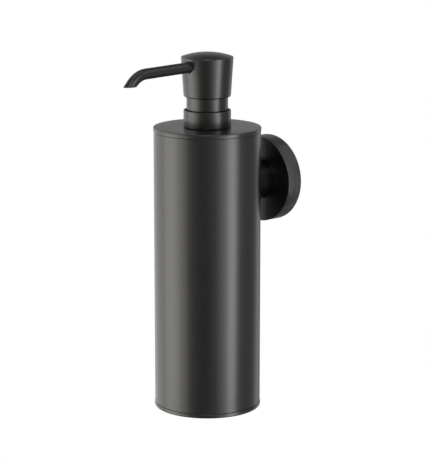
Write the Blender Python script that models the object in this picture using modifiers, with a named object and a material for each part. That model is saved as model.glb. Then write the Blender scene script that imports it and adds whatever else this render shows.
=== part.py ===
"""Wall mounted soap dispenser: a metal case on a round wall rosette, with a bottle and a lotion pump inside.

Sizes are in millimetres and are turned into metres where a mesh is made. The origin is the middle of the
wall plate's back face. +Z is up and +Y points into the wall, so the spout points along -Y.
Two empties carry the parts: WALL_AXIS, whose local Z runs out of the wall, and BODY_AXIS, whose local Z runs
up the middle of the case from the underside of its base.
"""

import math

import bmesh
import bpy
from mathutils import Matrix, Vector

MM = 0.001

# Driving dimensions
BODY_HEIGHT = 160.8  # underside of the base to the top of the lid
AXIS_TO_WALL = 50.6
ARM_HEIGHT = 126.1  # of the arm's axis over the underside of the base
CASE_R = 30.0
CASE_WALL = 0.8
FLANGE_R = 30.2  # the lid and the base stand a little proud of the case
FLANGE_HEIGHT = 2.3
ROSETTE_R = 24.6
ROSETTE_DEPTH = 10.2
ARM_R = 11.6
COLLAR_R = 13.25
COLLAR_HEIGHT = 9.6  # top of the collar over the top of the lid
GAP = 0.3  # between pieces that touch
SLIDE = 0.2  # between a round piece and the bore that it slides or turns in
EDGE = 0.4  # broken on the outer corners of turned pieces
PAST = 1.0  # how far a cutter runs past the face that it opens

# Roundness of the turned pieces
FACETS_CASE = 48
FACETS_HEAD = 40
FACETS_PUMP = 28
FACETS_SMALL = 16
FACETS_THREAD = 24  # in each turn of a ridge

# Case, base and lid
CASE_BORE_R = CASE_R - CASE_WALL
CASE_FOOT_Z = FLANGE_HEIGHT + GAP
CASE_TOP_Z = BODY_HEIGHT - FLANGE_HEIGHT - GAP
PLUG_R = CASE_BORE_R - GAP
LID_UNDER_Z = BODY_HEIGHT - 1.8
BUSH_BORE_R = 12.0
BUSH_R = 13.6
BUSH_FOOT_Z = 149.5
LID_RING_Z = 154.5

BASE_FLOOR = 2.0
BASE_PLUG_TOP_Z = 8.0
BASE_PLUG_WALL = 1.4
BASE_FOOT_R = 24.0  # of the recess under the base
BASE_RECESS = 0.6
LID_PLUG_WALL = 2.2
LID_RECESS = 1.0  # round the closure

# Bottle: a beaker with a round mouth, and a flat at its back that passes the arm screw's head
BOTTLE_R = 27.0
BOTTLE_WALL = 1.0
BOTTLE_FLAT_Y = 23.6
BOTTLE_FLAT_TOP_Z = ARM_HEIGHT + 9.0
BOTTLE_FOOT_Z = 2.3
BOTTLE_FOOT_EDGE = 2.5
BOTTLE_RIM_Z = 156.2

# Closure: it holds the pump and screws into the lid's bush
CLOSURE_ROOT_R = 10.9
CLOSURE_BORE_R = 8.6
CLOSURE_FOOT_Z = 149.0
CLOSURE_FLANGE_R = 12.0
CLOSURE_FLANGE = 1.1
THREAD_SUNK = 0.4  # of a ridge's root, in the wall that it is joined to
SPIGOT_R = 9.9
SPIGOT_TOP_Z = 167.5
THREAD_PITCH = 3.0
THREAD_OVERLAP = 0.5  # of the two ridges, measured along the radius
THREAD_FOOT_Z = 150.5

# Pump
BARREL_BORE_R = 6.0
BARREL_R = 6.9
BARREL_FOOT_Z = 118.0
BARREL_FLOOR_Z = 119.0
NECK_R = 4.6  # of the neck that holds the dip tube
NECK_FOOT_Z = 104.0
NECK_STOP_Z = 112.2  # where the dip tube stops
INLET_R = 1.6
BALL_ROOM_R = 3.6
HOUSING_R = CLOSURE_BORE_R - GAP
HOUSING_BORE_R = 7.3
HOUSING_TOP_Z = 165.0
LEDGE_Z = 149.2
STEM_R = 3.2
STEM_BORE_R = 2.1
STEM_TOP_Z = 190.0
PISTON_FOOT_Z = 143.0
INLET_BALL_R = 2.5
INLET_BALL_Z = 115.95
OUTLET_BALL_R = 2.4
OUTLET_BALL_Z = STEM_TOP_Z + 1.35
SPRING_R = 4.4
SPRING_WIRE_R = 0.4
SPRING_FOOT_Z = 122.4
SPRING_TOP_Z = 140.2
SPRING_TURNS = 8
DIP_TUBE_R = 2.85
DIP_TUBE_BORE_R = 2.0
DIP_TUBE_FOOT_Z = 5.0

# Head and spout
HEAD_FOOT_Z = BODY_HEIGHT + 16.5
HEAD_RIM_Z = BODY_HEIGHT + 39.25
HEAD_TOP_Z = BODY_HEIGHT + 41.7
HEAD_RIM_R = 14.6
HEAD_FOOT_R = 13.15
HEAD_BORE_R = 11.9
HEAD_FOOT_EDGE = 1.3
HEAD_CROWN = 0.6
CORE_TOP_Z = HEAD_RIM_Z - 1.0
CORE_FOOT_Z = 178.0
SLEEVE_R = 11.6
SLEEVE_WALL = 0.8
SLEEVE_TOP_Z = 184.0
SPOUT_R = 3.0
SPOUT_BORE_R = 2.1
SPOUT_Z = 195.6  # of the spout's line where it meets the head's axis
SPOUT_TILT = math.radians(1.1)
SPOUT_ROOT = 7.6  # from the head's axis to the spout's end in the core
SPOUT_STRAIGHT = 45.4  # from the head's axis to the start of the bend
SPOUT_BEND_R = 14.2
SPOUT_BEND = math.radians(45.9)
SPOUT_TIP_Z = BODY_HEIGHT + 27.8

# Wall fixing
PLATE_R = 19.4
PLATE_THICK = 4.0
PLATE_SLOT_AT = 12.5
ROSETTE_RIM_R = 22.4
ROSETTE_FACE = 1.6
ROSETTE_FOOT = 0.2
SCREW_R = 2.9
SCREW_HOLE_R = 3.3
SCREW_HEAD_R = 5.0
SADDLE_FACE_Z = 23.5
GRUB_Z = 3.0
GRUB_R = 1.9
SOCKET_DEPTH = 1.6
NUT_R = 5.77  # over its corners
NUT_FOOT = 5.2  # over the wall
NUT_HEIGHT = 3.1
SCREW_END = 4.9
SADDLE_R = 7.5

PARTS = bpy.data.collections.new("wall_soap_dispenser")
CUTTERS = bpy.data.collections.new("cutters")


def clear_scene():
    for obj in list(bpy.data.objects):
        bpy.data.objects.remove(obj, do_unlink=True)
    for collection in (PARTS, CUTTERS):
        bpy.context.scene.collection.children.link(collection)


def material(name, colour, roughness, metallic):
    made = bpy.data.materials.new(name)
    made.use_nodes = True
    shader = made.node_tree.nodes["Principled BSDF"]
    shader.inputs["Base Color"].default_value = (*colour, 1.0)
    shader.inputs["Roughness"].default_value = roughness
    shader.inputs["Metallic"].default_value = metallic
    return made


def axis_empty(name, location, turn_x=0.0):
    empty = bpy.data.objects.new(name, None)
    empty.location = Vector(location) * MM
    empty.rotation_euler = (turn_x, 0.0, 0.0)
    PARTS.objects.link(empty)
    return empty


def add_object(name, mesh, parent, finish=None):
    """A mesh as a visible part or, with no finish, as a cutter that no render shows."""
    obj = bpy.data.objects.new(name, mesh)
    obj.parent = parent
    if finish is None:
        CUTTERS.objects.link(obj)
        obj.hide_render = True
        obj.display_type = "WIRE"
    else:
        PARTS.objects.link(obj)
        mesh.materials.append(finish)
    return obj


def mesh_from(name, bm):
    mesh = bpy.data.meshes.new(name)
    bm.to_mesh(mesh)
    bm.free()
    return mesh


def turned(name, profile, facets, parent, finish=None, closed=False):
    """A profile of (radius, height) turned about local Z. It runs down its outer side.

    A closed profile makes a ring. An open one starts and ends on the axis.
    """
    bm = bmesh.new()
    points = [bm.verts.new((r * MM, 0.0, z * MM)) for r, z in profile]
    pairs = list(zip(points, points[1:]))
    if closed:
        pairs.append((points[-1], points[0]))
    for first, second in pairs:
        bm.edges.new((first, second))
    obj = add_object(name, mesh_from(name, bm), parent, finish)
    screw = obj.modifiers.new("turn", "SCREW")
    screw.steps = facets
    screw.render_steps = facets
    screw.use_merge_vertices = True
    screw.merge_threshold = 1e-6
    screw.use_smooth_shade = True
    return obj


def rod(name, radius, low, high, parent, facets=FACETS_SMALL, finish=None):
    """A solid cylinder on local Z, from low to high."""
    bm = bmesh.new()
    bmesh.ops.create_cone(
        bm,
        cap_ends=True,
        segments=facets,
        radius1=radius * MM,
        radius2=radius * MM,
        depth=(high - low) * MM,
        matrix=Matrix.Translation((0.0, 0.0, (low + high) / 2 * MM)),
    )
    return add_object(name, mesh_from(name, bm), parent, finish)


def block(name, low, high, parent):
    """A box cutter between two corners."""
    size = Vector(high) - Vector(low)
    middle = (Vector(high) + Vector(low)) / 2
    bm = bmesh.new()
    bmesh.ops.create_cube(bm, size=MM)
    bmesh.ops.scale(bm, vec=size, verts=bm.verts)
    bmesh.ops.translate(bm, vec=middle * MM, verts=bm.verts)
    return add_object(name, mesh_from(name, bm), parent)


def ball(name, radius, height, parent, finish):
    bm = bmesh.new()
    bmesh.ops.create_uvsphere(bm, u_segments=FACETS_SMALL, v_segments=10, radius=radius * MM)
    obj = add_object(name, mesh_from(name, bm), parent, finish)
    obj.location = (0.0, 0.0, height * MM)
    return obj


def boolean(obj, operation, other):
    modifier = obj.modifiers.new(other.name, "BOOLEAN")
    modifier.operation = operation
    modifier.object = other
    return obj


def cut(obj, *cutters):
    for cutter in cutters:
        boolean(obj, "DIFFERENCE", cutter)
    return obj


def thread_ridge(name, root_r, crest_r, foot_z, turns, parent):
    """A right handed helical ridge with closed ends. Its root is sunk in the wall that it is joined to."""
    outwards = 1 if crest_r > root_r else -1
    sunk = root_r - outwards * THREAD_SUNK
    half = THREAD_PITCH * 0.3
    profile = [(sunk, -half), (crest_r, -half * 0.35), (crest_r, half * 0.35), (sunk, half)]
    bm = bmesh.new()
    points = [bm.verts.new((r * MM, 0.0, (foot_z + z) * MM)) for r, z in profile]
    loop = [bm.edges.new((a, b)) for a, b in zip(points, points[1:] + points[:1])]
    steps = int(FACETS_THREAD * turns)
    bmesh.ops.spin(
        bm,
        geom=points + loop,
        axis=(0.0, 0.0, 1.0),
        dvec=(0.0, 0.0, THREAD_PITCH * turns / steps * MM),
        angle=2 * math.pi * turns,
        steps=steps,
    )
    bmesh.ops.holes_fill(bm, edges=bm.edges, sides=len(profile))
    bmesh.ops.recalc_face_normals(bm, faces=bm.faces)
    return add_object(name, mesh_from(name, bm), parent)


def tube_along(name, points, radius, sides, parent):
    """A solid round bar along points in local millimetres, as a mesh with welded caps."""
    data = bpy.data.curves.new(name + "_line", "CURVE")
    data.dimensions = "3D"
    data.bevel_depth = radius * MM
    data.bevel_resolution = sides // 4 - 1
    data.use_fill_caps = True
    spline = data.splines.new("POLY")
    spline.points.add(len(points) - 1)
    for point, place in zip(spline.points, points):
        point.co = (*(Vector(place) * MM), 1.0)
    curve = bpy.data.objects.new(name + "_line", data)
    CUTTERS.objects.link(curve)
    bpy.context.view_layer.update()
    graph = bpy.context.evaluated_depsgraph_get()
    mesh = bpy.data.meshes.new_from_object(curve.evaluated_get(graph))
    bpy.data.objects.remove(curve, do_unlink=True)
    bm = bmesh.new()
    bm.from_mesh(mesh)
    bmesh.ops.remove_doubles(bm, verts=bm.verts, dist=1e-6)
    bmesh.ops.recalc_face_normals(bm, faces=bm.faces)
    bm.to_mesh(mesh)
    bm.free()
    mesh.name = name
    mesh.materials.clear()
    return add_object(name, mesh, parent)


def as_part(obj, finish):
    """Turns a solid made as a cutter into a visible part."""
    CUTTERS.objects.unlink(obj)
    PARTS.objects.link(obj)
    obj.hide_render = False
    obj.display_type = "TEXTURED"
    obj.data.materials.append(finish)
    return obj


# The wall fixing, on WALL_AXIS: local Z runs out of the wall and local Y is up


def slot_cutter(name, height, parent):
    """A cutter for a slot along local X: a cylinder whose two halves are drawn apart."""
    radius, reach = 2.5, 1.75
    obj = rod(name, radius, -PAST, PLATE_THICK + PAST, parent)
    for vertex in obj.data.vertices:
        vertex.co.x += math.copysign(reach, vertex.co.x) * MM
    obj.location = (0.0, height * MM, 0.0)
    return obj


def wall_plate(parent, finish):
    profile = [
        (0.0, PLATE_THICK),
        (PLATE_R - EDGE, PLATE_THICK),
        (PLATE_R, PLATE_THICK - EDGE),
        (PLATE_R - 1.2, 0.0),
        (0.0, 0.0),
    ]
    plate = turned("wall_plate", profile, FACETS_HEAD, parent, finish)
    for side in (-1, 1):
        cut(plate, slot_cutter(f"plate_slot_{side}", side * PLATE_SLOT_AT, parent))
    return plate


def rosette(parent, finish):
    inside = ROSETTE_DEPTH - ROSETTE_FACE
    profile = [
        (ROSETTE_R - EDGE, ROSETTE_DEPTH),
        (ROSETTE_R, ROSETTE_DEPTH - EDGE),
        (ROSETTE_R, ROSETTE_FOOT),
        (ROSETTE_RIM_R, ROSETTE_FOOT),
        (ROSETTE_RIM_R, inside),
        (SCREW_HOLE_R, inside),
        (SCREW_HOLE_R, ROSETTE_DEPTH),
    ]
    cup = turned("rosette", profile, FACETS_CASE, parent, finish, closed=True)
    hole = rod("grub_hole", GRUB_R + SLIDE, PLATE_R, ROSETTE_R + 2.0, parent)
    point_down(hole)
    return cut(cup, hole)


def point_down(obj):
    """Stands a rod that was made on local Z along the wall's downward radius, at the grub screw's height."""
    obj.rotation_euler = (math.radians(90.0), 0.0, 0.0)
    obj.location = (0.0, 0.0, GRUB_Z * MM)
    return obj


def hex_socket(name, corner_r, low, high, parent):
    return rod(name, corner_r, low, high, parent, facets=6)


def grub_screw(parent, finish):
    tip = PLATE_R + GAP
    outer = ROSETTE_R - EDGE
    radius = GRUB_R
    point = radius - 0.8
    profile = [
        (0.0, outer),
        (radius - 0.2, outer),
        (radius, outer - 0.2),
        (radius, tip + 0.8),
        (point, tip),
        (0.0, tip),
    ]
    screw = point_down(turned("grub_screw", profile, FACETS_SMALL, parent, finish))
    socket = point_down(hex_socket("grub_socket", 1.15, outer - SOCKET_DEPTH, outer + PAST, parent))
    return cut(screw, socket)


def case_cylinder(name, radius, parent):
    """A tall cylinder on the case's axis, seen from the wall: it shapes what bears on the case."""
    obj = rod(name, radius, -30.0, 30.0, parent, facets=2 * FACETS_CASE)
    obj.rotation_euler = (math.radians(90.0), 0.0, 0.0)
    obj.location = (0.0, 0.0, AXIS_TO_WALL * MM)
    return obj


def arm(parent, finish):
    low = ROSETTE_DEPTH + GAP
    body = rod("arm", ARM_R, low, AXIS_TO_WALL - CASE_R + 4.0, parent, FACETS_HEAD, finish)
    bore = rod("arm_bore", SCREW_HOLE_R, low - PAST, AXIS_TO_WALL, parent)
    return cut(body, case_cylinder("arm_saddle", CASE_R + GAP, parent), bore)


def saddle_washer(parent, finish):
    body = rod("saddle_washer", SADDLE_R, 19.0, SADDLE_FACE_Z, parent, 24, finish)
    boolean(body, "INTERSECT", case_cylinder("washer_saddle", PLUG_R, parent))
    return cut(body, rod("washer_bore", SCREW_HOLE_R, 15.0, 30.0, parent))


def arm_screw(parent, finish):
    under = SADDLE_FACE_Z + GAP
    top = under + 2.5
    profile = [
        (0.0, top),
        (3.2, top),
        (4.5, top - 0.8),
        (SCREW_HEAD_R, top - 1.9),
        (SCREW_HEAD_R, under),
        (SCREW_R, under),
        (SCREW_R, SCREW_END + 0.5),
        (SCREW_R - 0.5, SCREW_END),
        (0.0, SCREW_END),
    ]
    screw = turned("arm_screw", profile, FACETS_SMALL, parent, finish)
    return cut(screw, hex_socket("screw_socket", 2.3, top - SOCKET_DEPTH, top + PAST, parent))


def arm_nut(parent, finish):
    top = NUT_FOOT + NUT_HEIGHT
    nut = rod("arm_nut", NUT_R, NUT_FOOT, top, parent, 6, finish)
    return cut(nut, rod("nut_bore", SCREW_R + SLIDE, NUT_FOOT - PAST, top + PAST, parent))


# The case and what lifts out of it, on BODY_AXIS: local Z is up


def base_cap(parent, finish):
    profile = [
        (0.0, BASE_FLOOR),
        (PLUG_R - BASE_PLUG_WALL, BASE_FLOOR),
        (PLUG_R - BASE_PLUG_WALL, BASE_PLUG_TOP_Z),
        (PLUG_R, BASE_PLUG_TOP_Z),
        (PLUG_R, FLANGE_HEIGHT),
        (FLANGE_R, FLANGE_HEIGHT),
        (FLANGE_R, EDGE),
        (FLANGE_R - EDGE, 0.0),
        (BASE_FOOT_R, 0.0),
        (BASE_FOOT_R - BASE_RECESS, BASE_RECESS),
        (0.0, BASE_RECESS),
    ]
    return turned("base_cap", profile, FACETS_CASE, parent, finish)


def outer_case(parent, finish):
    profile = [
        (CASE_R, CASE_TOP_Z),
        (CASE_R, CASE_FOOT_Z),
        (CASE_BORE_R, CASE_FOOT_Z),
        (CASE_BORE_R, CASE_TOP_Z),
    ]
    case = turned("outer_case", profile, FACETS_CASE, parent, finish, closed=True)
    hole = rod("case_hole", SCREW_HOLE_R, CASE_BORE_R - 4.0, CASE_R + 4.0, parent)
    hole.rotation_euler = (math.radians(-90.0), 0.0, 0.0)
    hole.location = (0.0, 0.0, ARM_HEIGHT * MM)
    return cut(case, hole)


def beaker_profile(inset, top):
    """The bottle's outline, or with an inset of its wall the space inside it."""
    foot = BOTTLE_FOOT_Z + inset
    radius = BOTTLE_R - inset
    edge = BOTTLE_FOOT_EDGE
    return [(0.0, top), (radius, top), (radius, foot + edge), (radius - edge, foot), (0.0, foot)]


def back_flat(name, inset, parent):
    """A cutter for the flat at the bottle's back."""
    front = BOTTLE_FLAT_Y - inset
    return block(name, (-40.0, front, -5.0), (40.0, 40.0, BOTTLE_FLAT_TOP_Z + inset), parent)


def bottle(parent, finish):
    body = turned("bottle", beaker_profile(0.0, BOTTLE_RIM_Z), FACETS_CASE, parent, finish)
    space = turned("bottle_space", beaker_profile(BOTTLE_WALL, BOTTLE_RIM_Z + 5.0), FACETS_CASE, parent)
    cut(space, back_flat("space_flat", BOTTLE_WALL, parent))
    return cut(body, back_flat("bottle_flat", 0.0, parent), space)


def lid(parent, finish):
    """A plate on the case, with a plug in the bottle's mouth and a threaded bush for the closure."""
    plug_r = BOTTLE_R - BOTTLE_WALL - 0.4
    step = BOTTLE_RIM_Z + GAP
    groove_r = plug_r - 1.0
    half_groove = 0.9
    plug_foot = BUSH_FOOT_Z + 2.0
    recess_r = CLOSURE_FLANGE_R + 0.8
    profile = [
        (FLANGE_R - EDGE, BODY_HEIGHT),
        (FLANGE_R, BODY_HEIGHT - EDGE),
        (FLANGE_R, BODY_HEIGHT - FLANGE_HEIGHT),
        (PLUG_R, BODY_HEIGHT - FLANGE_HEIGHT),
        (PLUG_R, step),
        (plug_r, step),
        (plug_r, LID_RING_Z + half_groove),
        (groove_r, LID_RING_Z + half_groove),
        (groove_r, LID_RING_Z - half_groove),
        (plug_r, LID_RING_Z - half_groove),
        (plug_r, plug_foot),
        (plug_r - LID_PLUG_WALL, plug_foot),
        (plug_r - LID_PLUG_WALL, LID_UNDER_Z),
        (BUSH_R, LID_UNDER_Z),
        (BUSH_R, BUSH_FOOT_Z),
        (BUSH_BORE_R, BUSH_FOOT_Z),
        (BUSH_BORE_R, BODY_HEIGHT - LID_RECESS),
        (recess_r, BODY_HEIGHT - LID_RECESS),
        (recess_r, BODY_HEIGHT),
    ]
    plate = turned("lid", profile, FACETS_CASE, parent, finish, closed=True)
    crest = (BUSH_BORE_R + CLOSURE_ROOT_R - THREAD_OVERLAP) / 2
    foot = THREAD_FOOT_Z + THREAD_PITCH / 2
    ridge = thread_ridge("bush_thread", BUSH_BORE_R, crest, foot, 1.5, parent)
    return boolean(plate, "UNION", ridge)


def lid_ring(parent, finish):
    """The O-ring that seals the lid in the bottle's mouth."""
    major = BOTTLE_R - BOTTLE_WALL - 0.75
    minor = 0.55
    turns = [2 * math.pi * step / 6 for step in range(6)]
    profile = [(major + minor * math.cos(turn), LID_RING_Z - minor * math.sin(turn)) for turn in turns]
    return turned("lid_ring", profile, FACETS_HEAD, parent, finish, closed=True)


def closure(parent, finish):
    flange = BODY_HEIGHT + GAP
    profile = [
        (SPIGOT_R, SPIGOT_TOP_Z),
        (SPIGOT_R, flange + CLOSURE_FLANGE),
        (CLOSURE_FLANGE_R, flange + CLOSURE_FLANGE),
        (CLOSURE_FLANGE_R, flange),
        (CLOSURE_ROOT_R, flange),
        (CLOSURE_ROOT_R, CLOSURE_FOOT_Z),
        (CLOSURE_BORE_R, CLOSURE_FOOT_Z),
        (CLOSURE_BORE_R, SPIGOT_TOP_Z),
    ]
    body = turned("closure", profile, FACETS_HEAD, parent, finish, closed=True)
    crest = (BUSH_BORE_R + CLOSURE_ROOT_R + THREAD_OVERLAP) / 2
    ridge = thread_ridge("closure_thread", CLOSURE_ROOT_R, crest, THREAD_FOOT_Z, 2.0, parent)
    return boolean(body, "UNION", ridge)


def closure_gasket(parent, finish):
    low = BODY_HEIGHT - 0.7
    high = BODY_HEIGHT
    inner = CLOSURE_ROOT_R + GAP
    outer = CLOSURE_FLANGE_R + 0.5
    profile = [(outer, high), (outer, low), (inner, low), (inner, high)]
    return turned("closure_gasket", profile, FACETS_HEAD, parent, finish, closed=True)


def collar(parent, finish):
    foot = BODY_HEIGHT + GAP
    top = BODY_HEIGHT + COLLAR_HEIGHT
    bore = COLLAR_R - 0.8
    profile = [(COLLAR_R - EDGE, top), (COLLAR_R, top - EDGE), (COLLAR_R, foot), (bore, foot), (bore, top)]
    return turned("collar", profile, FACETS_HEAD, parent, finish, closed=True)


# The pump


def pump_housing(parent, finish):
    flange_top = CLOSURE_FOOT_Z - GAP
    flange_foot = flange_top - 1.4
    tube_bore = DIP_TUBE_R + SLIDE
    profile = [
        (HOUSING_R, HOUSING_TOP_Z),
        (HOUSING_R, flange_top),
        (CLOSURE_ROOT_R - 0.5, flange_top),
        (CLOSURE_ROOT_R - 0.5, flange_foot),
        (BARREL_R, flange_foot),
        (BARREL_R, BARREL_FOOT_Z),
        (NECK_R, BARREL_FOOT_Z - 3.5),
        (NECK_R, NECK_FOOT_Z),
        (tube_bore, NECK_FOOT_Z),
        (tube_bore, NECK_STOP_Z),
        (INLET_R, NECK_STOP_Z),
        (INLET_R, NECK_STOP_Z + 1.6),
        (BALL_ROOM_R, NECK_STOP_Z + 3.6),
        (BALL_ROOM_R, BARREL_FLOOR_Z),
        (BARREL_BORE_R, BARREL_FLOOR_Z),
        (BARREL_BORE_R, LEDGE_Z),
        (HOUSING_BORE_R, LEDGE_Z),
        (HOUSING_BORE_R, HOUSING_TOP_Z),
    ]
    return turned("pump_housing", profile, FACETS_PUMP, parent, finish, closed=True)


def housing_cap(parent, finish):
    """The plug that guides the stem and stops the piston's rise."""
    foot = LEDGE_Z + GAP
    rim = HOUSING_TOP_Z + GAP
    top = rim + 1.5
    plug_r = HOUSING_BORE_R - GAP
    bore = STEM_R + SLIDE
    profile = [(HOUSING_R, top), (HOUSING_R, rim), (plug_r, rim), (plug_r, foot), (bore, foot), (bore, top)]
    return turned("housing_cap", profile, FACETS_PUMP, parent, finish, closed=True)


def spring_seat(parent, finish):
    """The ring that carries the spring and keeps the inlet ball below it."""
    seat_r = BARREL_BORE_R - GAP
    foot = BARREL_FLOOR_Z + GAP
    top = foot + 2.5
    room_r = BALL_ROOM_R + SLIDE
    mouth_r = 2.2  # smaller than the inlet ball
    profile = [
        (seat_r, top),
        (seat_r, foot),
        (room_r, foot),
        (room_r, foot + 0.9),
        (mouth_r, foot + 0.9),
        (mouth_r, top - 0.6),
        (mouth_r + 1.0, top),
    ]
    return turned("spring_seat", profile, FACETS_SMALL, parent, finish, closed=True)


def dip_tube(parent, finish):
    top = NECK_STOP_Z - GAP
    profile = [
        (DIP_TUBE_R, top),
        (DIP_TUBE_R, DIP_TUBE_FOOT_Z),
        (DIP_TUBE_BORE_R, DIP_TUBE_FOOT_Z),
        (DIP_TUBE_BORE_R, top),
    ]
    return turned("dip_tube", profile, FACETS_SMALL, parent, finish, closed=True)


def spring(parent, finish):
    """An open coil whose two end turns lie closed."""
    per_turn = 10
    closed_rise = 2.4 * SPRING_WIRE_R
    open_rise = (SPRING_TOP_Z - SPRING_FOOT_Z - 2 * closed_rise) / (SPRING_TURNS - 2)
    points = []
    height = SPRING_FOOT_Z
    for step in range(SPRING_TURNS * per_turn + 1):
        turn = step / per_turn
        angle = 2 * math.pi * turn
        points.append((SPRING_R * math.cos(angle), SPRING_R * math.sin(angle), height))
        in_end = turn < 1 or turn >= SPRING_TURNS - 1
        height += (closed_rise if in_end else open_rise) / per_turn
    return as_part(tube_along("spring", points, SPRING_WIRE_R, 8, parent), finish)


def piston(parent, finish):
    """Two lips on the barrel's bore, with a waist between them."""
    foot = PISTON_FOOT_Z
    top = foot + 6.0
    lip = BARREL_BORE_R - 0.15
    waist = lip - 0.6
    bore = STEM_R + SLIDE
    profile = [
        (lip, top),
        (lip, top - 1.2),
        (waist, top - 1.7),
        (waist, foot + 1.7),
        (lip, foot + 1.2),
        (lip, foot),
        (bore, foot),
        (bore, top),
    ]
    return turned("piston", profile, FACETS_PUMP, parent, finish, closed=True)


def stem(parent, finish):
    flange_top = PISTON_FOOT_Z - GAP
    foot = flange_top - 1.8
    flange_r = 5.2
    profile = [
        (STEM_R - 0.3, STEM_TOP_Z),
        (STEM_R, STEM_TOP_Z - 0.3),
        (STEM_R, flange_top),
        (flange_r, flange_top),
        (flange_r, foot),
        (STEM_BORE_R, foot),
        (STEM_BORE_R, STEM_TOP_Z),
    ]
    return turned("stem", profile, FACETS_PUMP, parent, finish, closed=True)


# The head, which turns on the stem


def spout_line(start, past_bend):
    """Points along the middle of the spout, from a distance off the head's axis to past its bend."""
    tilt = Vector((0.0, -math.cos(SPOUT_TILT), -math.sin(SPOUT_TILT)))
    origin = Vector((0.0, 0.0, SPOUT_Z))
    points = [origin + tilt * start, origin + tilt * SPOUT_STRAIGHT]
    bend_start = points[-1]
    steps = 8
    for step in range(1, steps + 1):
        angle = SPOUT_TILT + SPOUT_BEND * step / steps
        along = SPOUT_BEND_R * (math.sin(angle) - math.sin(SPOUT_TILT))
        down = SPOUT_BEND_R * (math.cos(SPOUT_TILT) - math.cos(angle))
        points.append(bend_start + Vector((0.0, -along, -down)))
    final = SPOUT_TILT + SPOUT_BEND
    points.append(points[-1] + past_bend * Vector((0.0, -math.cos(final), -math.sin(final))))
    return points


def spout(parent, finish):
    body = as_part(tube_along("spout", spout_line(SPOUT_ROOT, 12.0), SPOUT_R, 16, parent), finish)
    bore = tube_along("spout_bore", spout_line(SPOUT_ROOT - PAST, 12.0 + PAST), SPOUT_BORE_R, 12, parent)
    below = block("spout_end", (-10, -80, SPOUT_TIP_Z - 30), (10, -40, SPOUT_TIP_Z), parent)
    return cut(body, bore, below)


def spout_passage(name, radius, start, end, parent):
    """A straight cutter along the first stretch of the spout's line."""
    tilt = Vector((0.0, -math.cos(SPOUT_TILT), -math.sin(SPOUT_TILT)))
    origin = Vector((0.0, 0.0, SPOUT_Z))
    return tube_along(name, [origin + tilt * start, origin + tilt * end], radius, 16, parent)


def head_shell(parent, finish):
    dome = HEAD_TOP_Z - HEAD_RIM_Z
    rim_r = HEAD_RIM_R - EDGE
    # the crown is an arc through the rim and the top
    crown_r = (rim_r**2 + dome**2) / (2 * dome)
    crown = [
        (r, HEAD_TOP_Z - crown_r + math.sqrt(crown_r**2 - r**2))
        for r in (rim_r * step / 5 for step in range(6))
    ]
    profile = crown + [
        (HEAD_RIM_R, HEAD_RIM_Z - EDGE),
        (HEAD_FOOT_R, HEAD_FOOT_Z + HEAD_FOOT_EDGE),
        (HEAD_BORE_R, HEAD_FOOT_Z),
        (HEAD_BORE_R, HEAD_RIM_Z - HEAD_CROWN),
        (0.0, HEAD_RIM_Z - HEAD_CROWN),
    ]
    shell = turned("head_shell", profile, FACETS_HEAD, parent, finish)
    return cut(shell, spout_passage("shell_hole", SPOUT_R + SLIDE, 9.0, 20.0, parent))


def head_core(parent, finish):
    shoulder = SLEEVE_TOP_Z + GAP
    plug_r = SLEEVE_R - SLEEVE_WALL - GAP
    socket_top = CORE_TOP_Z - 1.0
    profile = [
        (0.0, CORE_TOP_Z),
        (SLEEVE_R, CORE_TOP_Z),
        (SLEEVE_R, shoulder),
        (plug_r, shoulder),
        (plug_r, CORE_FOOT_Z),
        (STEM_R + SLIDE, CORE_FOOT_Z),
        (STEM_R + SLIDE, socket_top),
        (0.0, socket_top),
    ]
    core = turned("head_core", profile, FACETS_PUMP, parent, finish)
    socket = spout_passage("spout_socket", SPOUT_R + SLIDE, SPOUT_ROOT - EDGE, 20.0, parent)
    return cut(core, socket, spout_passage("core_channel", SPOUT_BORE_R, 0.0, SPOUT_ROOT + PAST, parent))


def head_sleeve(parent, finish):
    foot = BODY_HEIGHT + COLLAR_HEIGHT - 1.0
    bore = SLEEVE_R - SLEEVE_WALL
    profile = [(SLEEVE_R, SLEEVE_TOP_Z), (SLEEVE_R, foot), (bore, foot), (bore, SLEEVE_TOP_Z)]
    return turned("head_sleeve", profile, FACETS_HEAD, parent, finish, closed=True)


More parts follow.
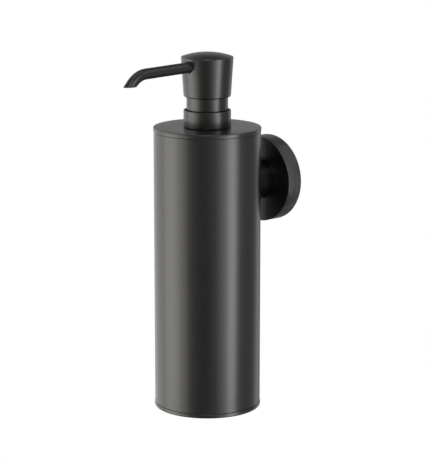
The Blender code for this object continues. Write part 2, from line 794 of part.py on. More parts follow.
def main():
    clear_scene()
    graphite = material("graphite_coating", (0.075, 0.075, 0.073), 0.38, 0.85)
    black = material("spout_coating", (0.03, 0.03, 0.031), 0.35, 0.6)
    zinc = material("zinc", (0.55, 0.55, 0.56), 0.45, 1.0)
    steel = material("stainless_steel", (0.62, 0.62, 0.63), 0.3, 1.0)
    bottle_plastic = material("bottle_plastic", (0.82, 0.83, 0.82), 0.4, 0.0)
    white_plastic = material("white_plastic", (0.85, 0.85, 0.84), 0.45, 0.0)
    black_plastic = material("black_plastic", (0.03, 0.03, 0.03), 0.5, 0.0)
    rubber = material("rubber", (0.04, 0.04, 0.04), 0.8, 0.0)

    wall = axis_empty("WALL_AXIS", (0.0, 0.0, 0.0), math.radians(90.0))
    wall_plate(wall, zinc)
    rosette(wall, graphite)
    grub_screw(wall, steel)
    arm(wall, graphite)
    saddle_washer(wall, zinc)
    arm_screw(wall, steel)
    arm_nut(wall, steel)

    body = axis_empty("BODY_AXIS", (0.0, -AXIS_TO_WALL, -ARM_HEIGHT))
    base_cap(body, graphite)
    outer_case(body, graphite)
    bottle(body, bottle_plastic)
    lid(body, graphite)
    lid_ring(body, rubber)
    closure(body, black_plastic)
    closure_gasket(body, rubber)
    collar(body, graphite)

    pump_housing(body, white_plastic)
    housing_cap(body, black_plastic)
    spring_seat(body, white_plastic)
    dip_tube(body, bottle_plastic)
    spring(body, steel)
    ball("inlet_ball", INLET_BALL_R, INLET_BALL_Z, body, steel)
    piston(body, black_plastic)
    stem(body, white_plastic)
    ball("outlet_ball", OUTLET_BALL_R, OUTLET_BALL_Z, body, steel)

    head_shell(body, graphite)
    head_core(body, black_plastic)
    head_sleeve(body, graphite)
    spout(body, black)


main()
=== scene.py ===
import math

import bmesh
import bpy
from mathutils import Matrix, Vector


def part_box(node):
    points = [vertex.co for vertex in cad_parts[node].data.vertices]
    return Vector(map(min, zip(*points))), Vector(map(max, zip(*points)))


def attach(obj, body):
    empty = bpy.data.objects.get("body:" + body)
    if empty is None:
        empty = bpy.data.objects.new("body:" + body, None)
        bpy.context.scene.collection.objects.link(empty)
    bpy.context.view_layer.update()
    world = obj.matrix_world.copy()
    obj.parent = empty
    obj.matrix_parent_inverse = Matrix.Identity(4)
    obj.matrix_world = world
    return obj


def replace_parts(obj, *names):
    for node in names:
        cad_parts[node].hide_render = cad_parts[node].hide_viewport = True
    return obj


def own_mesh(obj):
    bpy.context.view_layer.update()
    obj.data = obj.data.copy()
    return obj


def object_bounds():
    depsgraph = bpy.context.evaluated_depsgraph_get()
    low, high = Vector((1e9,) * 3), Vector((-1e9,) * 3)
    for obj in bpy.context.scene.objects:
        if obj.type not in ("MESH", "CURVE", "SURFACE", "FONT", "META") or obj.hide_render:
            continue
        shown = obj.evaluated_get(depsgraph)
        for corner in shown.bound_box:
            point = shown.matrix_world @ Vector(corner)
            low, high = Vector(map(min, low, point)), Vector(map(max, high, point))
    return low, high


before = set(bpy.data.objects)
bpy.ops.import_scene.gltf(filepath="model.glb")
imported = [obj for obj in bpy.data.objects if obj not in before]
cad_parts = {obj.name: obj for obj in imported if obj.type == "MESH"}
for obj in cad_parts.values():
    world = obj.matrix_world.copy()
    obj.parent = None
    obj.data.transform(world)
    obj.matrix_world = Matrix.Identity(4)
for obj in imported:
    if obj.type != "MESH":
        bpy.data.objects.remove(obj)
cad_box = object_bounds()

# Sizes are in metres. Every place comes from the frame's own parts.
MM = 0.001
SEGMENTS = 160  # round the case and the rosette
FINE_SEGMENTS = 112  # round the pump's visible parts and the head
SMALL_SEGMENTS = 64  # round the pump's inner parts
ROUNDING = 4  # segments in each rounded corner of an outline
CREASE = math.radians(12.0)
SOFT_CREASE = math.radians(25.0)
WIRE_CREASE = math.radians(40.0)
WELD = 1e-7
SEAM = 0.18 * MM  # by which the case tube closes the gaps to the lid and the base
PAST = 1.0 * MM  # how far a cutter runs past the face that it opens

case_low, case_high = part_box("outer_case")
AXIS_X = (case_low.x + case_high.x) / 2
AXIS_Y = (case_low.y + case_high.y) / 2
CASE_R = (case_high.x - case_low.x) / 2
WALL_X = 0.0
WALL_Z = 0.0
UP = Vector((0.0, 0.0, 1.0))
OUT = Vector((0.0, -1.0, 0.0))


# Shapes


class Upright:
    """The line up the middle of the case. A height is the world's z."""

    direction = UP
    centre = Vector((AXIS_X, AXIS_Y, 0.0))

    @staticmethod
    def point(radius, height):
        return Vector((AXIS_X + radius, AXIS_Y, height))


class FromWall:
    """The line out of the wall through the arm. A height is the distance from the wall."""

    direction = OUT
    centre = Vector((WALL_X, 0.0, WALL_Z))

    @staticmethod
    def point(radius, height):
        return Vector((WALL_X + radius, -height, WALL_Z))


def reach(node):
    """Radius, lowest and highest z of a part that stands on the case's axis."""
    low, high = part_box(node)
    return (high.x - low.x) / 2, low.z, high.z


def wall_reach(node):
    """Radius and the nearest and farthest distance from the wall of a part on the arm's axis."""
    low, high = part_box(node)
    return (high.x - low.x) / 2, -high.y, -low.y


def mesh_from(name, bm):
    mesh = bpy.data.meshes.new(name)
    bm.to_mesh(mesh)
    bm.free()
    return mesh


def shade(mesh, crease=CREASE):
    """Smooth faces, with sharp edges where they meet at more than the crease."""
    mesh.shade_smooth()
    mesh.set_sharp_from_angle(angle=crease)


def finished(name, bm, body, finish, crease=CREASE):
    """Closes a bmesh's work: one object at the origin that rides on a body."""
    bmesh.ops.remove_doubles(bm, verts=bm.verts, dist=WELD)
    bmesh.ops.recalc_face_normals(bm, faces=bm.faces)
    mesh = mesh_from(name, bm)
    shade(mesh, crease)
    mesh.materials.append(finish)
    obj = bpy.data.objects.new(name, mesh)
    bpy.context.scene.collection.objects.link(obj)
    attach(obj, body)
    return obj


def draw_outline(bm, line, outline, closed):
    """An outline of (radius, height, edge radius) beside a line, with its corners rounded."""
    verts = [bm.verts.new(line.point(radius, height)) for radius, height, _ in outline]
    pairs = list(zip(verts, verts[1:]))
    if closed:
        pairs.append((verts[-1], verts[0]))
    for first, second in pairs:
        bm.edges.new((first, second))
    for vert, (_, _, edge) in zip(verts, outline):
        if edge:
            bmesh.ops.bevel(
                bm,
                geom=[vert],
                offset=edge,
                offset_type="OFFSET",
                segments=ROUNDING,
                profile=0.5,
                affect="VERTICES",
                material=-1,
            )


def turn(bm, line, segments):
    """Spins everything in a bmesh once round a line."""
    bmesh.ops.spin(
        bm,
        geom=bm.verts[:] + bm.edges[:],
        cent=line.centre,
        axis=line.direction,
        dvec=(0.0, 0.0, 0.0),
        angle=2 * math.pi,
        steps=segments,
        use_merge=True,
    )
    bmesh.ops.remove_doubles(bm, verts=bm.verts, dist=WELD)


def turned(name, node, outline, body, finish, line=Upright, closed=True, segments=SEGMENTS):
    """A turned piece that stands for a part of the frame."""
    bm = bmesh.new()
    draw_outline(bm, line, outline, closed)
    turn(bm, line, segments)
    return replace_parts(finished(name, bm, body, finish), node)


def solid_rod(name, radius, low, high):
    """A cutter: a plain rod on Z about the origin."""
    bm = bmesh.new()
    bmesh.ops.create_cone(
        bm,
        cap_ends=True,
        segments=SMALL_SEGMENTS,
        radius1=radius,
        radius2=radius,
        depth=high - low,
        matrix=Matrix.Translation((0.0, 0.0, (low + high) / 2)),
    )
    return bpy.data.objects.new(name, mesh_from(name, bm))


def cut_out(piece, cutters):
    """Cuts rods out of a piece for good, and takes the rods away."""
    for cutter in cutters:
        bpy.context.scene.collection.objects.link(cutter)
        bore = piece.modifiers.new(cutter.name, "BOOLEAN")
        bore.operation = "DIFFERENCE"
        bore.solver = "EXACT"
        bore.object = cutter
    bpy.context.view_layer.update()
    graph = bpy.context.evaluated_depsgraph_get()
    mesh = bpy.data.meshes.new_from_object(piece.evaluated_get(graph))
    piece.modifiers.clear()
    mesh.name = piece.name
    piece.data = mesh
    shade(mesh)
    for cutter in cutters:
        bpy.data.objects.remove(cutter, do_unlink=True)
    return piece


# Finishes


class Nodes:
    """A material's node tree, with short words for what the finishes below need."""

    def __init__(self, name):
        self.material = bpy.data.materials.new(name)
        self.material.use_nodes = True
        self.tree = self.material.node_tree
        self.shader = self.tree.nodes["Principled BSDF"]

    def add(self, kind, **settings):
        node = self.tree.nodes.new(kind)
        for key, value in settings.items():
            setattr(node, key, value)
        return node

    def join(self, output, socket):
        self.tree.links.new(output, socket)

    def place(self, centre=(0.0, 0.0, 0.0), turned_y=False):
        """Object coordinates from a centre. turned_y brings the wall line to Z."""
        coords = self.add("ShaderNodeTexCoord")
        mapping = self.add("ShaderNodeMapping", vector_type="POINT")
        angle = math.radians(90.0) if turned_y else 0.0
        mapping.inputs["Rotation"].default_value = (angle, 0.0, 0.0)
        mapping.inputs["Location"].default_value = -(Matrix.Rotation(angle, 3, "X") @ Vector(centre))
        self.join(coords.outputs["Object"], mapping.inputs["Vector"])
        return mapping.outputs["Vector"]

    def maths(self, operation, first, second):
        node = self.add("ShaderNodeMath", operation=operation)
        for socket, value in zip(node.inputs, (first, second)):
            if isinstance(value, bpy.types.NodeSocket):
                self.join(value, socket)
            else:
                socket.default_value = value
        return node.outputs["Value"]

    def noise(self, vector, scale, detail=3.0, w=None):
        node = self.add("ShaderNodeTexNoise", noise_dimensions="3D" if w is None else "4D")
        node.inputs["Scale"].default_value = scale
        node.inputs["Detail"].default_value = detail
        self.join(vector, node.inputs["Vector"])
        if w is not None:
            self.join(w, node.inputs["W"])
        return node.outputs["Fac"]

    def ranged(self, value, low, high):
        """Spreads the middle of a noise's range, where nearly all of it lies, over low to high."""
        node = self.add("ShaderNodeMapRange")
        node.inputs["From Min"].default_value = 0.3
        node.inputs["From Max"].default_value = 0.7
        node.inputs["To Min"].default_value = low
        node.inputs["To Max"].default_value = high
        self.join(value, node.inputs["Value"])
        return node.outputs["Result"]

    def shade(self, factor, dark, light):
        node = self.add("ShaderNodeMix", data_type="RGBA")
        node.inputs["A"].default_value = (*dark, 1.0)
        node.inputs["B"].default_value = (*light, 1.0)
        self.join(factor, node.inputs["Factor"])
        self.join(node.outputs["Result"], self.shader.inputs["Base Color"])

    def bump(self, height, strength, distance):
        node = self.add("ShaderNodeBump")
        node.inputs["Strength"].default_value = strength
        node.inputs["Distance"].default_value = distance
        self.join(height, node.inputs["Height"])
        self.join(node.outputs["Normal"], self.shader.inputs["Normal"])


def turned_streaks(nodes, centre, turned_y, spacing):
    """Fine lines that run round an axis, on faces that face out, up or down alike."""
    place = nodes.place(centre, turned_y)
    parts = nodes.add("ShaderNodeSeparateXYZ")
    nodes.join(place, parts.inputs["Vector"])
    x, y, z = parts.outputs
    square = nodes.maths("ADD", nodes.maths("MULTIPLY", x, x), nodes.maths("MULTIPLY", y, y))
    radius = nodes.maths("SQRT", square, 0.0)
    safe = nodes.maths("MAXIMUM", radius, 1e-5)  # never zero on the axis
    combined = nodes.add("ShaderNodeCombineXYZ")
    nodes.join(nodes.maths("DIVIDE", x, safe), combined.inputs["X"])
    nodes.join(nodes.maths("DIVIDE", y, safe), combined.inputs["Y"])
    nodes.join(nodes.maths("DIVIDE", z, spacing), combined.inputs["Z"])
    return nodes.noise(combined.outputs["Vector"], 1.0, 1.0, w=nodes.maths("DIVIDE", radius, spacing))


def brushed_graphite(name, centre, turned_y=False, relief=0.012 * MM, tint=1.0):
    """Dark satin metal: brushed round its axis, then coated, with a fine grain in the coat."""
    nodes = Nodes(name)
    shader = nodes.shader
    shader.inputs["Metallic"].default_value = 1.0
    fine = turned_streaks(nodes, centre, turned_y, 0.22 * MM)
    broad = turned_streaks(nodes, centre, turned_y, 1.1 * MM)
    grain = nodes.noise(nodes.place(), 1.0 / (0.45 * MM), 2.0)
    streaks = nodes.maths("ADD", nodes.maths("MULTIPLY", fine, 0.6), nodes.maths("MULTIPLY", broad, 0.4))
    tone = nodes.maths("ADD", nodes.maths("MULTIPLY", streaks, 0.6), nodes.maths("MULTIPLY", grain, 0.4))
    dark = [tint * value for value in (0.092, 0.092, 0.091)]
    light = [tint * value for value in (0.108, 0.108, 0.107)]
    nodes.shade(nodes.ranged(tone, 0.0, 1.0), dark, light)
    nodes.join(nodes.ranged(tone, 0.28, 0.32), shader.inputs["Roughness"])
    nodes.bump(streaks, 1.0, relief)
    return nodes.material


def plain_finish(name, dark, light, roughness, metallic=0.0, grain=0.4 * MM, bump=0.06):
    """Moulded, cast or coated: an even colour with a fine grain in its colour, gloss and surface."""
    nodes = Nodes(name)
    nodes.shader.inputs["Metallic"].default_value = metallic
    grains = nodes.noise(nodes.place(), 1.0 / grain, 4.0)
    nodes.shade(nodes.ranged(grains, 0.0, 1.0), dark, light)
    gloss = nodes.ranged(grains, roughness - 0.04, roughness + 0.04)
    nodes.join(gloss, nodes.shader.inputs["Roughness"])
    nodes.bump(grains, bump, 0.05 * MM)
    return nodes.material


def milky_plastic():
    """Translucent, with the slow clouding of blown plastic."""
    material = plain_finish(
        "milky_plastic", (0.74, 0.76, 0.75), (0.80, 0.82, 0.81), 0.32, grain=6 * MM, bump=0.02
    )
    shader = material.node_tree.nodes["Principled BSDF"]
    shader.inputs["Transmission Weight"].default_value = 0.35
    shader.inputs["IOR"].default_value = 1.49
    return material


CASE_LINE = (AXIS_X, AXIS_Y, 0.0)
WALL_LINE = (WALL_X, 0.0, WALL_Z)
graphite = brushed_graphite("graphite_case", CASE_LINE, tint=0.97)
graphite_pump = brushed_graphite("graphite_pump_parts", CASE_LINE, relief=0.03 * MM, tint=0.90)
graphite_wall = brushed_graphite("graphite_wall_parts", WALL_LINE, turned_y=True, relief=0.08 * MM)
graphite_rim = brushed_graphite("graphite_rosette_rim", WALL_LINE, turned_y=True, relief=0.30 * MM)
black_coat = plain_finish(
    "black_spout_coat", (0.020, 0.020, 0.021), (0.026, 0.026, 0.027), 0.24, grain=0.25 * MM
)
cast_zinc = plain_finish(
    "cast_zinc", (0.40, 0.40, 0.41), (0.52, 0.52, 0.53), 0.48, metallic=1.0, grain=0.8 * MM, bump=0.2
)
steel = plain_finish(
    "stainless_steel", (0.50, 0.50, 0.51), (0.62, 0.62, 0.63), 0.28, metallic=1.0, grain=0.3 * MM
)
white_plastic = plain_finish("white_moulding", (0.76, 0.76, 0.74), (0.82, 0.82, 0.80), 0.42)
black_plastic = plain_finish("black_moulding", (0.018, 0.018, 0.018), (0.026, 0.026, 0.026), 0.46)
rubber = plain_finish("seal_rubber", (0.016, 0.016, 0.017), (0.028, 0.028, 0.029), 0.75, bump=0.2)
milky = milky_plastic()


# The wall fixing


def make_rosette():
    """A cup that is open to the wall, with a hole underneath for the grub screw."""
    radius, near, far = wall_reach("rosette")
    bore = radius - 2.2 * MM
    inside = far - 1.6 * MM
    outline = [
        (0.0, far, 0.0),
        (radius, far, 0.45 * MM),
        (radius, near, 0.2 * MM),
        (bore, near, 0.2 * MM),
        (bore, inside, 0.8 * MM),
        (0.0, inside, 0.0),
    ]
    cup = turned(
        "rosette_cup", "rosette", outline, "holder", graphite_wall, FromWall, False
    )
    cup.data.materials.append(graphite_rim)
    for face in cup.data.polygons:
        outside = Vector((face.center.x - WALL_X, face.center.z - WALL_Z)).length > radius - 0.3 * MM
        on_rim = outside and abs(face.normal.y) < 0.8
        face.material_index = 1 if on_rim else 0
    grub_low, grub_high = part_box("grub_screw")
    hole_r = (grub_high.x - grub_low.x) / 2 + 0.2 * MM
    hole = solid_rod("grub_hole", hole_r, -radius - 2 * PAST, -bore + 3 * PAST)
    hole.data.transform(Matrix.Translation((WALL_X, (grub_low.y + grub_high.y) / 2, WALL_Z)))
    return cut_out(cup, [hole])


def make_wall_plate():
    """A cast disc with two slots for the wall screws."""
    radius, near, far = wall_reach("wall_plate")
    slot_r = 2.5 * MM
    slot_reach = 1.75 * MM  # of each end of a slot from its middle
    slot_at = 12.5 * MM  # over and under the plate's middle
    outline = [
        (0.0, far, 0.0),
        (radius, far, 0.5 * MM),
        (radius, far - 1.4 * MM, 0.2 * MM),
        (radius - 1.2 * MM, near, 0.2 * MM),
        (0.0, near, 0.0),
    ]
    plate = turned("cast_wall_plate", "wall_plate", outline, "holder", cast_zinc, FromWall, False)
    turned_out = Matrix.Rotation(math.radians(90.0), 4, "X")
    slots = []
    for side in (-1, 1):
        slot = solid_rod("slot", slot_r, near - PAST, far + PAST)
        for vert in slot.data.vertices:
            vert.co.x += math.copysign(slot_reach, vert.co.x)
        slot.data.transform(Matrix.Translation((WALL_X, 0.0, WALL_Z + side * slot_at)) @ turned_out)
        slots.append(slot)
    return cut_out(plate, slots)


def make_arm():
    """A round bar whose far end follows the case."""
    radius, near, _ = wall_reach("arm")
    foot = near - 0.2 * MM  # the arm sits a little deeper on the rosette
    far = near + 9.0 * MM
    clearance = 0.1 * MM
    bm = bmesh.new()
    outline = [(radius - 2 * MM, foot, 0.0), (radius, foot, 0.15 * MM), (radius, far, 0.0)]
    draw_outline(bm, FromWall, outline, False)
    turn(bm, FromWall, FINE_SEGMENTS)
    for vert in bm.verts:
        if -vert.co.y > far - PAST:
            saddle = math.sqrt(CASE_R**2 - (vert.co.x - AXIS_X) ** 2)
            vert.co.y = AXIS_Y + saddle - clearance
    bmesh.ops.holes_fill(bm, edges=bm.edges, sides=0)
    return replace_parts(finished("arm_bar", bm, "holder", graphite_wall), "arm")


# The case

FLANGE = 2.3 * MM  # height of the bands of the lid and the base
INSET = 1.3 * MM  # from a band to the plug that fits the case


def make_base():
    """The closed bottom: a band, a plug in the case and a shallow recess underneath."""
    radius, low, high = reach("base_cap")
    flange = low + FLANGE
    floor = low + 2.0 * MM
    plug = radius - INSET
    plug_bore = plug - 1.4 * MM
    foot_r = 24.0 * MM
    recess = 0.6 * MM
    outline = [
        (0.0, floor, 0.0),
        (plug_bore, floor, 0.4 * MM),
        (plug_bore, high, 0.2 * MM),
        (plug, high, 0.2 * MM),
        (plug, flange, 0.0),
        (radius, flange, 0.25 * MM),
        (radius, low, 0.55 * MM),
        (foot_r, low, 0.2 * MM),
        (foot_r - recess, low + recess, 0.0),
        (0.0, low + recess, 0.0),
    ]
    return turned("base_cup", "base_cap", outline, "holder", graphite, closed=False)


def make_case():
    radius, low, high = reach("outer_case")
    bore = radius - 0.8 * MM
    top = high + SEAM
    foot = low - SEAM
    outline = [
        (radius, top, 0.15 * MM),
        (radius, foot, 0.15 * MM),
        (bore, foot, 0.1 * MM),
        (bore, top, 0.1 * MM),
    ]
    return turned("case_tube", "outer_case", outline, "holder", graphite)


# The insert


def make_lid():
    """The top plate, with a plug and its ring groove, a bush for the closure and a recess round it."""
    radius, low, high = reach("lid")
    flange = high - FLANGE
    step_r = radius - INSET
    step = flange - 1.8 * MM
    plug_r = radius - 4.6 * MM
    plug_bore = plug_r - 2.2 * MM
    plug_foot = low + 2.0 * MM
    ring_low, ring_high = reach("lid_ring")[1:]
    ring_z = (ring_low + ring_high) / 2
    groove = 0.9 * MM  # half its height
    groove_r = plug_r - 1.0 * MM
    under = high - 1.8 * MM
    bush_bore = 12.0 * MM
    bush_r = 13.6 * MM
    recess_r = 12.8 * MM
    recess = high - 1.0 * MM
    outline = [
        (radius, high, 0.4 * MM),
        (radius, flange, 0.2 * MM),
        (step_r, flange, 0.0),
        (step_r, step, 0.2 * MM),
        (plug_r, step, 0.0),
        (plug_r, ring_z + groove, 0.15 * MM),
        (groove_r, ring_z + groove, 0.1 * MM),
        (groove_r, ring_z - groove, 0.1 * MM),
        (plug_r, ring_z - groove, 0.15 * MM),
        (plug_r, plug_foot, 0.3 * MM),
        (plug_bore, plug_foot, 0.3 * MM),
        (plug_bore, under, 0.6 * MM),
        (bush_r, under, 0.6 * MM),
        (bush_r, low, 0.3 * MM),
        (bush_bore, low, 0.2 * MM),
        (bush_bore, recess, 0.0),
        (recess_r, recess, 0.0),
        (recess_r, high, 0.15 * MM),
    ]
    return turned("lid_plate", "lid", outline, "top", graphite)


def make_bottle():
    """A beaker with a flat at its back, which passes the arm screw's head."""
    radius, foot, rim = reach("bottle")
    wall = 1.0 * MM
    bore = radius - wall
    flat = AXIS_Y + 23.6 * MM
    flat_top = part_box("arm_screw")[1].z + 4.0 * MM
    slope_top = flat_top + 3.4 * MM
    outline = [
        (0.0, foot, 0.0),
        (radius, foot, 2.5 * MM),
        (radius, flat_top, 0.0),
        (radius, slope_top, 0.0),
        (radius, rim, 0.35 * MM),
        (bore, rim, 0.35 * MM),
        (bore, slope_top, 0.0),
        (bore, flat_top, 0.0),
        (bore, foot + wall, 1.8 * MM),
        (0.0, foot + wall, 0.0),
    ]
    bm = bmesh.new()
    draw_outline(bm, Upright, outline, False)
    turn(bm, Upright, SEGMENTS)
    for vert in bm.verts:
        out = Vector((vert.co.x - AXIS_X, vert.co.y - AXIS_Y)).length
        inner = out < radius - wall / 2 and vert.co.z > foot + wall / 2
        if vert.co.z < flat_top + 0.1 * MM:
            vert.co.y = min(vert.co.y, flat - wall if inner else flat)
    beaker = finished("milky_beaker", bm, "insert", milky, SOFT_CREASE)
    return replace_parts(beaker, "bottle")


def make_lid_ring():
    """The O-ring on the lid's plug: a square section rounded until it is a circle."""
    radius, low, high = reach("lid_ring")
    round_off = (high - low) / 2
    inner = radius - 2 * round_off
    corners = [(radius, high), (radius, low), (inner, low), (inner, high)]
    outline = [(r, z, round_off) for r, z in corners]
    return turned("rubber_ring", "lid_ring", outline, "top", rubber)


# The pump


def make_pump_housing():
    """The barrel with its flange above, the inlet's ball seat inside and the dip tube's neck below."""
    radius, foot, high = reach("pump_housing")
    top_r = 8.3 * MM
    top_bore = top_r - 1.0 * MM
    barrel_r = 6.9 * MM
    lower_r = barrel_r - 0.35 * MM
    bore_r = 6.0 * MM
    neck_r = 4.6 * MM
    neck_bore = 3.05 * MM
    inlet_r = 1.6 * MM
    ball_room_r = 3.6 * MM
    flange_top = foot + 44.7 * MM
    flange_foot = flange_top - 1.4 * MM
    barrel_foot = foot + 14.0 * MM
    step = barrel_foot + 6.0 * MM
    neck_stop = foot + 8.2 * MM
    barrel_floor = foot + 15.0 * MM
    ledge = foot + 45.2 * MM
    outline = [
        (top_bore, high, 0.2 * MM),
        (top_r, high, 0.2 * MM),
        (top_r, flange_top, 0.0),
        (radius, flange_top, 0.2 * MM),
        (radius, flange_foot, 0.3 * MM),
        (barrel_r, flange_foot, 0.5 * MM),
        (barrel_r, step, 0.1 * MM),
        (lower_r, step - 0.4 * MM, 0.1 * MM),
        (lower_r, barrel_foot, 0.6 * MM),
        (neck_r, barrel_foot - 3.5 * MM, 0.6 * MM),
        (neck_r, foot, 0.5 * MM),
        (neck_bore, foot, 0.15 * MM),
        (neck_bore, neck_stop, 0.0),
        (inlet_r, neck_stop, 0.0),
        (inlet_r, neck_stop + 1.6 * MM, 0.0),
        (ball_room_r, neck_stop + 3.6 * MM, 0.0),
        (ball_room_r, barrel_floor, 0.0),
        (bore_r, barrel_floor, 0.0),
        (bore_r, ledge, 0.0),
        (top_bore, ledge, 0.0),
    ]
    return turned(
        "pump_barrel",
        "pump_housing",
        outline,
        "pump",
        white_plastic,
        segments=SMALL_SEGMENTS,
    )


def make_dip_tube():
    radius, low, high = reach("dip_tube")
    bore = radius - 0.85 * MM
    corners = [(radius, high), (radius, low), (bore, low), (bore, high)]
    outline = [(r, z, 0.1 * MM) for r, z in corners]
    return turned(
        "draw_tube", "dip_tube", outline, "pump", milky, segments=SMALL_SEGMENTS
    )


def make_spring():
    """A wire spun up in three stretches: a closed turn, the open coil and a closed turn."""
    radius, low, high = reach("spring")
    wire = 0.4 * MM
    turns = 8
    steps = 48
    closed_rise = 2.4 * wire
    open_rise = (high - low - 2 * wire - 2 * closed_rise) / (turns - 2)
    foot = Matrix.Translation(Upright.point(radius - wire, low + wire))
    bm = bmesh.new()
    bmesh.ops.create_circle(
        bm, segments=12, radius=wire, matrix=foot @ Matrix.Rotation(math.radians(90.0), 4, "X")
    )
    geom = bm.verts[:] + bm.edges[:]
    for stretch, rise in ((1, closed_rise), (turns - 2, open_rise), (1, closed_rise)):
        geom = bmesh.ops.spin(
            bm,
            geom=geom,
            cent=Upright.centre,
            axis=UP,
            dvec=(0.0, 0.0, rise / steps),
            angle=2 * math.pi * stretch,
            steps=steps * stretch,
            use_merge=False,
        )["geom_last"]
    bmesh.ops.holes_fill(bm, edges=bm.edges, sides=0)
    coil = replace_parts(finished("coil_spring", bm, "pump", steel, WIRE_CREASE), "spring")
    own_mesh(coil)
    return coil


def make_collar():
    radius, low, high = reach("collar")
    bore = radius - 0.8 * MM
    outline = [
        (radius, high, 0.18 * MM),
        (radius, low, 0.15 * MM),
        (bore, low, 0.0),
        (bore, high, 0.18 * MM),
    ]
    return turned(
        "collar_ring",
        "collar",
        outline,
        "closure_ring",
        graphite_pump,
        segments=FINE_SEGMENTS,
    )


# The head

SPOUT_TILT = math.radians(1.1)  # down from level
SPOUT_START = 7.6 * MM  # from the head's axis to the spout's inner end


def spout_radius():
    low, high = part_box("spout")
    return (high.x - low.x) / 2


def spout_line():
    """The place of the spout: local Z runs out of the head's axis along the spout."""
    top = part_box("spout")[1].z
    height = top - spout_radius() / math.cos(SPOUT_TILT) + SPOUT_START * math.sin(SPOUT_TILT)
    level = math.radians(90.0)
    return Matrix.Translation((AXIS_X, AXIS_Y, height)) @ Matrix.Rotation(level + SPOUT_TILT, 4, "X")


def make_head_shell():
    """A cone that widens upwards, closed by a shallow dome with a crisp rim, with a hole for the spout."""
    radius, low, high = reach("head_shell")
    bore = reach("head_sleeve")[0] + 0.08 * MM
    foot = low + 0.35 * MM
    waist_r = 13.15 * MM
    rim_z = high - 2.45 * MM
    rim_r = radius - 0.25 * MM
    inside = rim_z - 0.6 * MM
    dome_r = (rim_r**2 + (high - rim_z) ** 2) / (2 * (high - rim_z))
    steps = 14
    crown = []
    for step in range(steps + 1):
        r = rim_r * step / steps
        crown.append((r, high - dome_r + math.sqrt(dome_r**2 - r**2), 0.0))
    outline = crown + [
        (radius, rim_z - 0.35 * MM, 0.12 * MM),
        (waist_r, foot, 1.1 * MM),
        (bore, foot, 0.0),
        (bore, inside, 0.0),
        (0.0, inside, 0.0),
    ]
    cap = turned(
        "head_cap",
        "head_shell",
        outline,
        "head",
        graphite_pump,
        closed=False,
        segments=FINE_SEGMENTS,
    )
    hole = solid_rod("spout_hole", spout_radius() + 0.35 * MM, 10 * MM, 20 * MM)
    hole.data.transform(spout_line())
    return cut_out(cap, [hole])


def make_head_sleeve():
    radius, low, high = reach("head_sleeve")
    bore = radius - 0.8 * MM
    outline = [
        (radius, high, 0.1 * MM),
        (radius, low, 0.2 * MM),
        (bore, low, 0.1 * MM),
        (bore, high, 0.1 * MM),
    ]
    return turned(
        "sleeve_tube",
        "head_sleeve",
        outline,
        "head",
        graphite_pump,
        segments=FINE_SEGMENTS,
    )


def edges_of(geom):
    return [item for item in geom if isinstance(item, bmesh.types.BMEdge)]


def lengthened(bm, edges, along):
    """Extrudes rings of edges by a vector. Returns the rings at the far end."""
    made = bmesh.ops.extrude_edge_only(bm, edges=edges)["geom"]
    verts = [item for item in made if isinstance(item, bmesh.types.BMVert)]
    bmesh.ops.translate(bm, vec=along, verts=verts)
    moved = set(verts)
    return [edge for edge in edges_of(made) if moved.issuperset(edge.verts)]


def spout_way(angle):
    """The direction of the spout at an angle down from level."""
    return Vector((0.0, -math.cos(angle), -math.sin(angle)))


def make_spout():
    """Two rings drawn along a straight line, spun through the bend and cut off level at the tip."""
    tip_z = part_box("spout")[0].z
    radius = spout_radius()
    bore = radius - 0.85 * MM
    straight = 45.4 * MM  # from the head's axis to the bend
    bend = math.radians(45.9)
    bend_r = 14.2 * MM
    past_bend = 10.0 * MM  # long enough to reach below the tip
    along = spout_way(SPOUT_TILT)
    down = spout_way(SPOUT_TILT + math.radians(90.0))
    line = spout_line()
    start = line @ Matrix.Translation((0.0, 0.0, SPOUT_START))
    bm = bmesh.new()
    for ring in (radius, bore):
        bmesh.ops.create_circle(bm, segments=40, radius=ring, matrix=start)
    rings = bm.edges[:]
    bmesh.ops.bridge_loops(bm, edges=rings)
    rings = lengthened(bm, rings, along * (straight - SPOUT_START))
    spun = bmesh.ops.spin(
        bm,
        geom=rings,
        cent=line.translation + along * straight + down * bend_r,
        axis=(1.0, 0.0, 0.0),
        dvec=(0.0, 0.0, 0.0),
        angle=bend,
        steps=20,
        use_merge=False,
    )["geom_last"]
    lengthened(bm, edges_of(spun), spout_way(SPOUT_TILT + bend) * past_bend)
    cut = bmesh.ops.bisect_plane(
        bm,
        geom=bm.verts[:] + bm.edges[:] + bm.faces[:],
        plane_co=(0.0, 0.0, tip_z),
        plane_no=-UP,
        clear_outer=True,
    )
    bmesh.ops.bridge_loops(bm, edges=edges_of(cut["geom_cut"]))
    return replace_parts(finished("spout_tube", bm, "head", black_coat), "spout")


make_rosette()
make_wall_plate()
make_arm()
make_base()
make_case()
make_lid()
make_bottle()
make_lid_ring()
make_pump_housing()
make_dip_tube()
make_spring()
make_collar()
make_head_shell()
make_head_sleeve()
make_spout()


# The parts of the frame that keep their shape and get a better finish

KEPT = {
    "saddle_washer": cast_zinc,
    "grub_screw": steel,
    "arm_screw": steel,
    "arm_nut": steel,
    "inlet_ball": steel,
    "outlet_ball": steel,
    "spring_seat": white_plastic,
    "stem": white_plastic,
    "closure": black_plastic,
    "housing_cap": black_plastic,
    "piston": black_plastic,
    "head_core": black_plastic,
    "closure_gasket": rubber,
}
for node, finish in KEPT.items():
    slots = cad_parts[node].data.materials
    slots.clear()
    slots.append(finish)


# Camera and plain tones

VIEW_BEARING = math.radians(46.627)  # of the camera, round the case from its front
VIEW_AIM = math.radians(46.396)
VIEW_PITCH = math.radians(12.447)
VIEW_DISTANCE = 1.0752
VIEW_RISE = 0.1768  # over the lid
LENS = 151.03


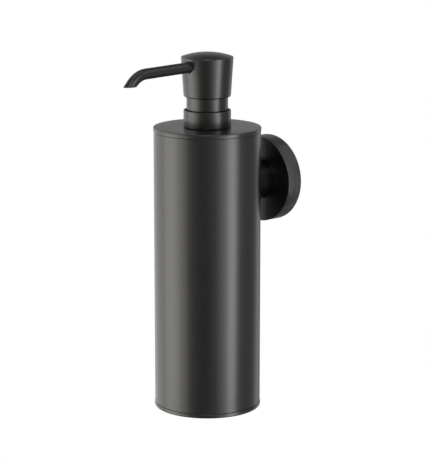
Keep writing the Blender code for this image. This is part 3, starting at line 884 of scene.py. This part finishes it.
def outward(bearing, rise):
    """A direction away from the object: the bearing turns it from the front to the right."""
    level = math.cos(rise)
    return Vector((math.sin(bearing) * level, -math.cos(bearing) * level, math.sin(rise)))


def make_camera():
    data = bpy.data.cameras.new("camera")
    data.lens = LENS
    camera = bpy.data.objects.new("camera", data)
    bpy.context.scene.collection.objects.link(camera)
    over_lid = Vector((AXIS_X, AXIS_Y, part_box("lid")[1].z + VIEW_RISE))
    camera.location = over_lid + outward(VIEW_BEARING, 0.0) * VIEW_DISTANCE
    camera.rotation_euler = (-outward(VIEW_AIM, VIEW_PITCH)).to_track_quat("-Z", "Y").to_euler()
    return camera


bpy.context.scene.camera = make_camera()
bpy.context.scene.view_settings.view_transform = "Standard"


# Light and surroundings

MIDDLE = Vector((AXIS_X, AXIS_Y, (cad_box[0].z + cad_box[1].z) / 2))
FLOOR_DROP = 0.9  # below the object, which hangs on a wall
FLOOR_REACH = 6.0
BACKDROP_R = 9.0
WHITE = (1.0, 1.0, 1.0)
OPAQUE_WHITE = (*WHITE, 1.0)


def white_surround():
    """A glow that is seen as the pale background and lights nothing."""
    material = bpy.data.materials.new("pale_surround")
    material.use_nodes = True
    tree = material.node_tree
    tree.nodes.clear()
    glow = tree.nodes.new("ShaderNodeEmission")
    glow.inputs["Color"].default_value = OPAQUE_WHITE
    glow.inputs["Strength"].default_value = 1.0
    output = tree.nodes.new("ShaderNodeOutputMaterial")
    tree.links.new(glow.outputs["Emission"], output.inputs["Surface"])
    return material


def add_stage(name, bm, material):
    mesh = mesh_from(name, bm)
    mesh.materials.append(material)
    obj = bpy.data.objects.new(name, mesh)
    bpy.context.scene.collection.objects.link(obj)
    for ray in ("diffuse", "glossy", "transmission", "volume_scatter", "shadow"):
        setattr(obj, "visible_" + ray, False)


def make_surroundings():
    """A plain pale floor and backdrop, far enough away to be even."""
    pale = white_surround()
    floor = bmesh.new()
    bmesh.ops.create_grid(floor, x_segments=1, y_segments=1, size=FLOOR_REACH)
    bmesh.ops.translate(floor, vec=(0.0, 0.0, cad_box[0].z - FLOOR_DROP), verts=floor.verts)
    add_stage("floor", floor, pale)
    dome = bmesh.new()
    bmesh.ops.create_icosphere(dome, subdivisions=4, radius=BACKDROP_R)
    add_stage("backdrop", dome, pale)


RING = 1.5  # from the object to every softbox
TALL = 2.2
FILL = 0.16  # an even glow from all round

# name, bearing to the right of the camera, rise, width, height, glow, colour
SOFTBOXES = (
    ("left_key", -85, 0, 1.09, TALL, 2.07, (1.0, 0.981, 0.900)),
    ("left_feather", -55, 0, 0.53, TALL, 1.08, (1.0, 0.955, 0.880)),
    ("left_fade", -35, 0, 0.53, TALL, 0.12, WHITE),
    ("left_side", -121, 0, 0.74, TALL, 1.15, (1.0, 0.985, 0.975)),
    ("left_back", -150, 0, 0.74, TALL, 1.00, (0.96, 0.975, 1.0)),
    ("right_key", 55, 0, 0.53, TALL, 2.72, WHITE),
    ("right_feather", 35, 0, 0.53, TALL, 0.67, WHITE),
    ("right_fade", 15, 0, 0.53, TALL, 0.10, WHITE),
    ("right_side", 100, 0, 1.40, TALL, 0.14, WHITE),
    ("right_back", 140, 0, 0.70, TALL, 0.60, WHITE),
    ("back", 180, 14, 0.80, 0.80, 0.30, WHITE),
    ("back_low", 180, -16, 1.00, 0.60, 0.25, WHITE),
    ("below", 0, -88, 1.20, 1.20, 0.60, WHITE),
    ("high_front", 0, 45, 0.75, 0.80, 1.96, WHITE),
    ("high_right", 90, 45, 0.75, 0.80, 0.72, WHITE),
    ("high_left", -150, 45, 0.75, 0.80, 0.17, WHITE),
    ("overhead", 0, 88, 1.00, 1.00, 0.55, WHITE),
)


def softbox(name, bearing, rise, width, height, glow, colour):
    """A soft panel that faces the object. Its power grows with its area, so its glow stays the same."""
    light = bpy.data.lights.new(name, "AREA")
    light.shape = "RECTANGLE"
    light.size = width
    light.size_y = height
    light.energy = glow * math.pi * width * height
    light.color = colour
    obj = bpy.data.objects.new(name, light)
    bpy.context.scene.collection.objects.link(obj)
    away = outward(VIEW_AIM + math.radians(bearing), math.radians(rise))
    obj.location = MIDDLE + away * RING
    obj.rotation_euler = (-away).to_track_quat("-Z", "Y").to_euler()
    obj.visible_camera = False


def make_lights():
    for panel in SOFTBOXES:
        softbox(*panel)
    world = bpy.data.worlds.new("studio")
    bpy.context.scene.world = world
    world.use_nodes = True
    background = world.node_tree.nodes["Background"]
    background.inputs["Color"].default_value = OPAQUE_WHITE
    background.inputs["Strength"].default_value = FILL


make_surroundings()
make_lights()
